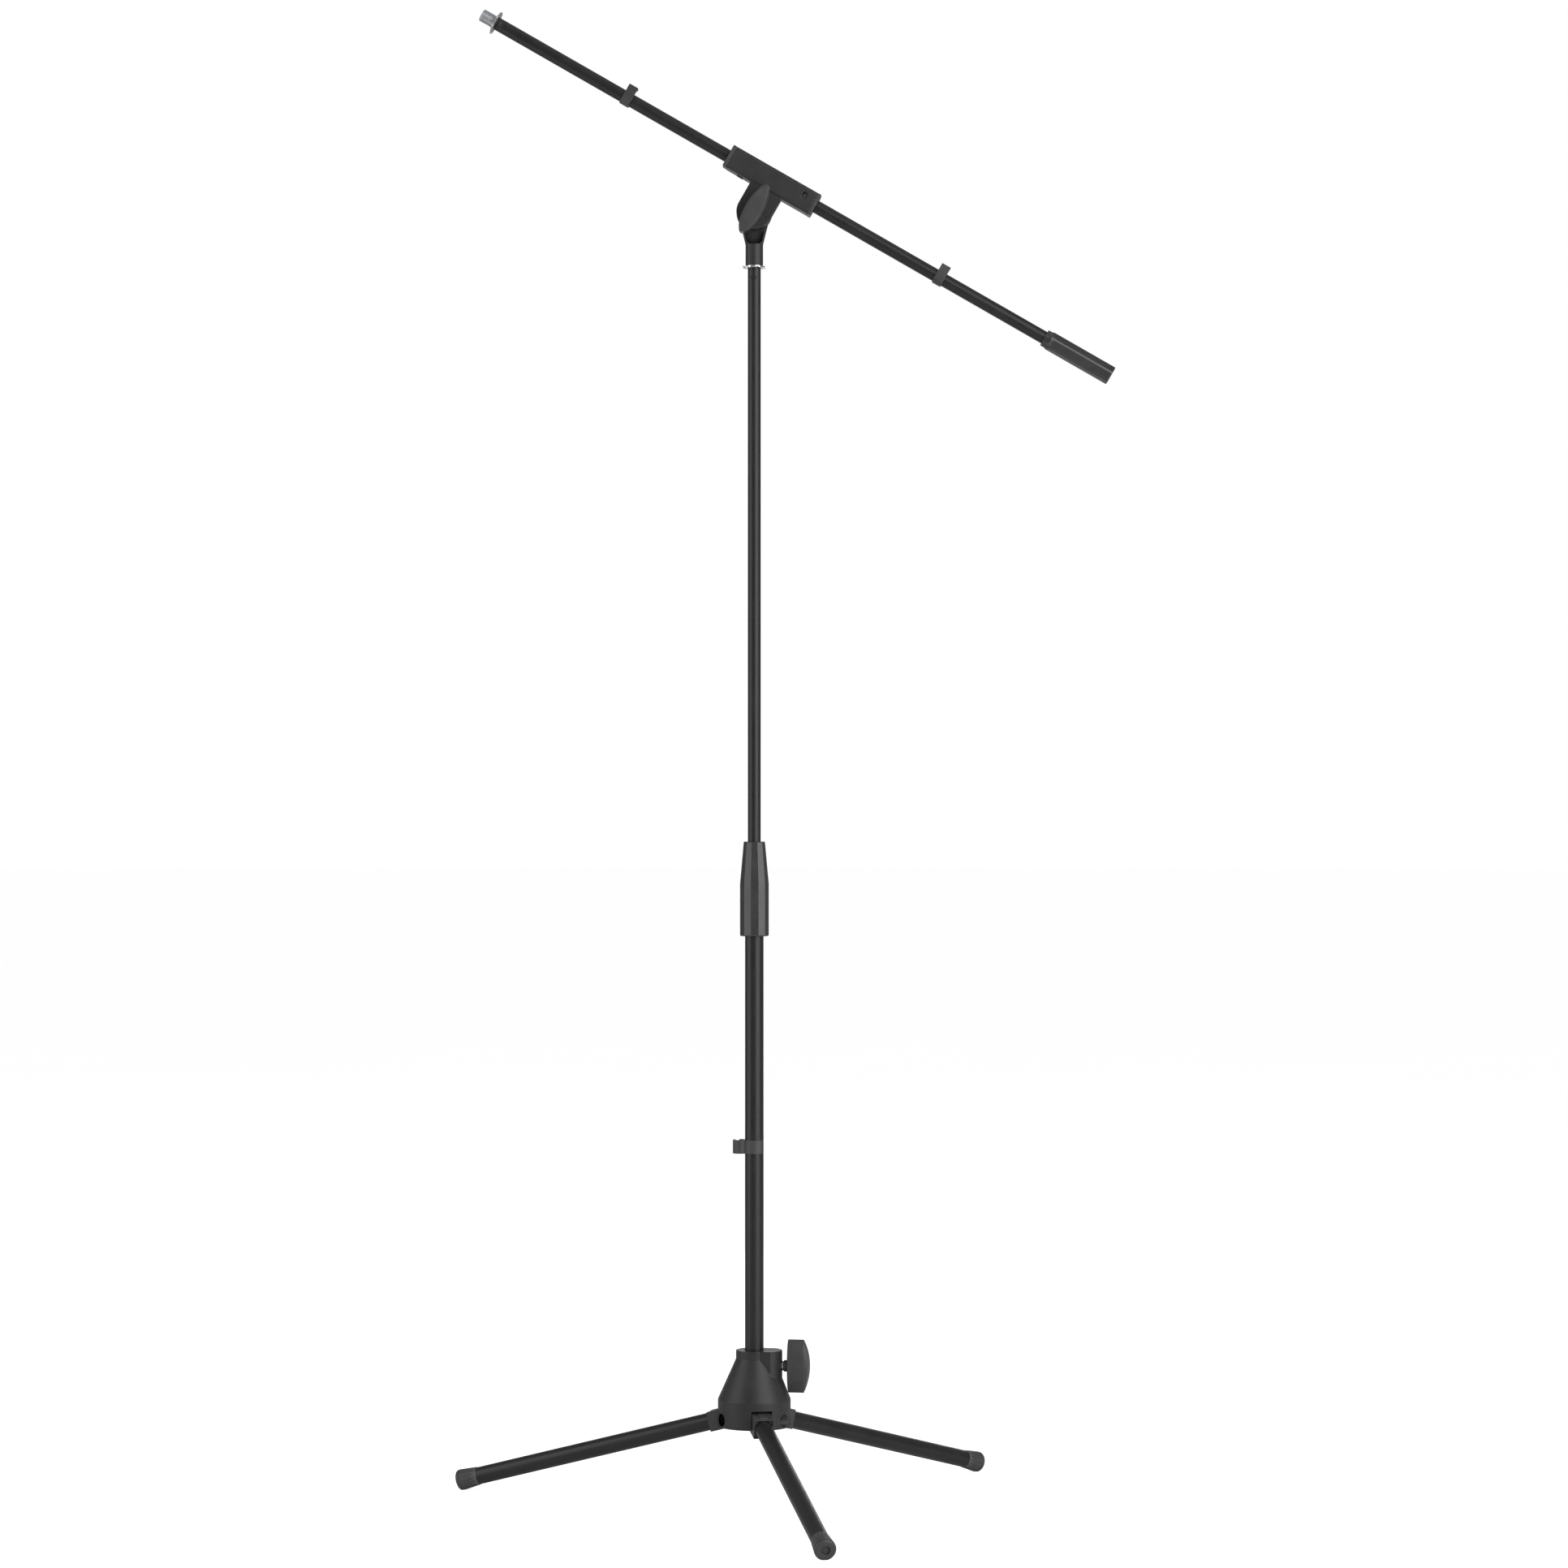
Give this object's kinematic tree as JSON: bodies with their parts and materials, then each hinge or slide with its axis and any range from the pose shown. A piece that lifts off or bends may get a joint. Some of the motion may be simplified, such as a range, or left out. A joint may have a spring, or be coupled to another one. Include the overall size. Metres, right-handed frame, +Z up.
{
  "type": "boom microphone stand",
  "caption": "Folding tripod microphone stand with a telescopic mast, a friction clutch and a tilting, sliding boom.",
  "frame": {"origin": "middle of the stand's box on the floor; the mast's axis stands behind and to the left of it", "axes": "+Z up along the mast, +X towards the boom's tail as seen from the front, +Y away from the front, and the tilt knob points to -Y"},
  "size_m": [0.8214, 0.6572, 1.8424],
  "materials": {
    "tube_black": "satin black powder coat on steel tube",
    "cast_black": "satin black powder coat on a die casting",
    "moulded_grey": "dark grey moulded nylon, fine grain",
    "rubber_grey": "dark grey matt rubber",
    "bright_steel": "bright plated steel",
    "zinc": "dull zinc plated steel"
  },
  "bodies": {
    "base": {"tripod_hub": "cast_black", "hinge_pin_front": "zinc", "hinge_pin_right": "zinc", "hinge_pin_left": "zinc", "base_shoe": "zinc"},
    "leg_front": {"leg_bracket_front": "moulded_grey", "leg_tube_front": "tube_black", "foot_front": "rubber_grey"},
    "leg_right": {"leg_bracket_right": "moulded_grey", "leg_tube_right": "tube_black", "foot_right": "rubber_grey"},
    "leg_left": {"leg_bracket_left": "moulded_grey", "leg_tube_left": "tube_black", "foot_left": "rubber_grey"},
    "base_knob": {"base_knob": "moulded_grey", "base_screw": "zinc", "base_washer": "bright_steel"},
    "lower_mast": {"lower_tube": "tube_black", "lower_plug": "moulded_grey", "clutch_collar": "moulded_grey", "clutch_collet": "moulded_grey"},
    "mast_clip": {"mast_cable_clip": "moulded_grey"},
    "clutch": {"clutch_grip": "rubber_grey"},
    "upper_mast": {"upper_tube": "tube_black", "guide_bush": "moulded_grey", "mast_stud": "zinc"},
    "mast_ring": {"mast_lock_ring": "bright_steel"},
    "head": {"swivel_knuckle": "cast_black", "friction_disc": "moulded_grey", "tilt_nut": "zinc"},
    "tilt_knob": {"tilt_knob": "moulded_grey", "tilt_screw": "zinc", "tilt_washer": "bright_steel"},
    "boom_clamp": {"boom_clamp": "cast_black", "clamp_bush_head": "moulded_grey", "clamp_bush_tail": "moulded_grey"},
    "boom": {"boom_tube": "tube_black", "boom_stud": "zinc", "boom_grip": "rubber_grey"},
    "boom_ring": {"boom_lock_ring": "bright_steel"},
    "head_clip": {"boom_clip_head": "moulded_grey"},
    "tail_clip": {"boom_clip_tail": "moulded_grey"}
  },
  "joints": [
    {"name": "leg_fold_front", "type": "hinge", "parent": "base", "child": "leg_front", "pos_m": [-0.02709, 0.02461, 0.1073], "axis": [0.9764, 0.216, 0], "range_deg": [0, 75]},
    {"name": "leg_fold_right", "type": "hinge", "parent": "base", "child": "leg_right", "pos_m": [-0.01014, 0.07829, 0.1073], "axis": [-0.6753, 0.7376, 0], "range_deg": [0, 75]},
    {"name": "leg_fold_left", "type": "hinge", "parent": "base", "child": "leg_left", "pos_m": [-0.0651, 0.06613, 0.1073], "axis": [-0.3011, -0.9536, 0], "range_deg": [0, 75]},
    {"name": "mast_slide", "type": "slide", "parent": "base", "child": "lower_mast", "axis": [0, 0, 1], "range_m": [-0.085, 0.05]},
    {"name": "base_knob_turn", "type": "hinge", "parent": "base", "child": "base_knob", "pos_m": [-0.03411, 0.05634, 0.1723], "axis": [0.9848, -0.1736, 0], "range_deg": [0, 270]},
    {"name": "mast_clip_slide", "type": "slide", "parent": "lower_mast", "child": "mast_clip", "axis": [0, 0, 1], "range_m": [-0.15, 0.24]},
    {"name": "clutch_turn", "type": "hinge", "parent": "lower_mast", "child": "clutch", "pos_m": [-0.03411, 0.05634, 0.76], "axis": [0, 0, 1], "range_deg": [0, 120]},
    {"name": "height_slide", "type": "slide", "parent": "lower_mast", "child": "upper_mast", "axis": [0, 0, 1], "range_m": [-0.58, 0]},
    {"name": "mast_ring_turn", "type": "hinge", "parent": "upper_mast", "child": "mast_ring", "pos_m": [-0.03411, 0.05634, 1.525], "axis": [0, 0, 1], "range_deg": [0, 180]},
    {"name": "head_swivel", "type": "hinge", "parent": "upper_mast", "child": "head", "pos_m": [-0.03411, 0.05634, 1.54], "axis": [0, 0, 1], "continuous": true},
    {"name": "tilt_knob_turn", "type": "hinge", "parent": "head", "child": "tilt_knob", "pos_m": [-0.03411, 0.05634, 1.5926], "axis": [0, -1, 0], "range_deg": [0, 270]},
    {"name": "boom_tilt", "type": "hinge", "parent": "head", "child": "boom_clamp", "pos_m": [-0.03411, 0.05634, 1.5926], "axis": [0, 1, 0], "range_deg": [-115, 58]},
    {"name": "boom_slide", "type": "slide", "parent": "boom_clamp", "child": "boom", "axis": [0.8672, 0, -0.4979], "range_m": [-0.165, 0.13]},
    {"name": "boom_ring_turn", "type": "hinge", "parent": "boom", "child": "boom_ring", "pos_m": [-0.35308, 0.05634, 1.82634], "axis": [0.8672, 0, -0.4979], "range_deg": [0, 180]},
    {"name": "head_clip_slide", "type": "slide", "parent": "boom", "child": "head_clip", "axis": [0.8672, 0, -0.4979], "range_m": [-0.17, 0]},
    {"name": "tail_clip_slide", "type": "slide", "parent": "boom", "child": "tail_clip", "axis": [0.8672, 0, -0.4979], "range_m": [0, 0.135]}
  ]
}
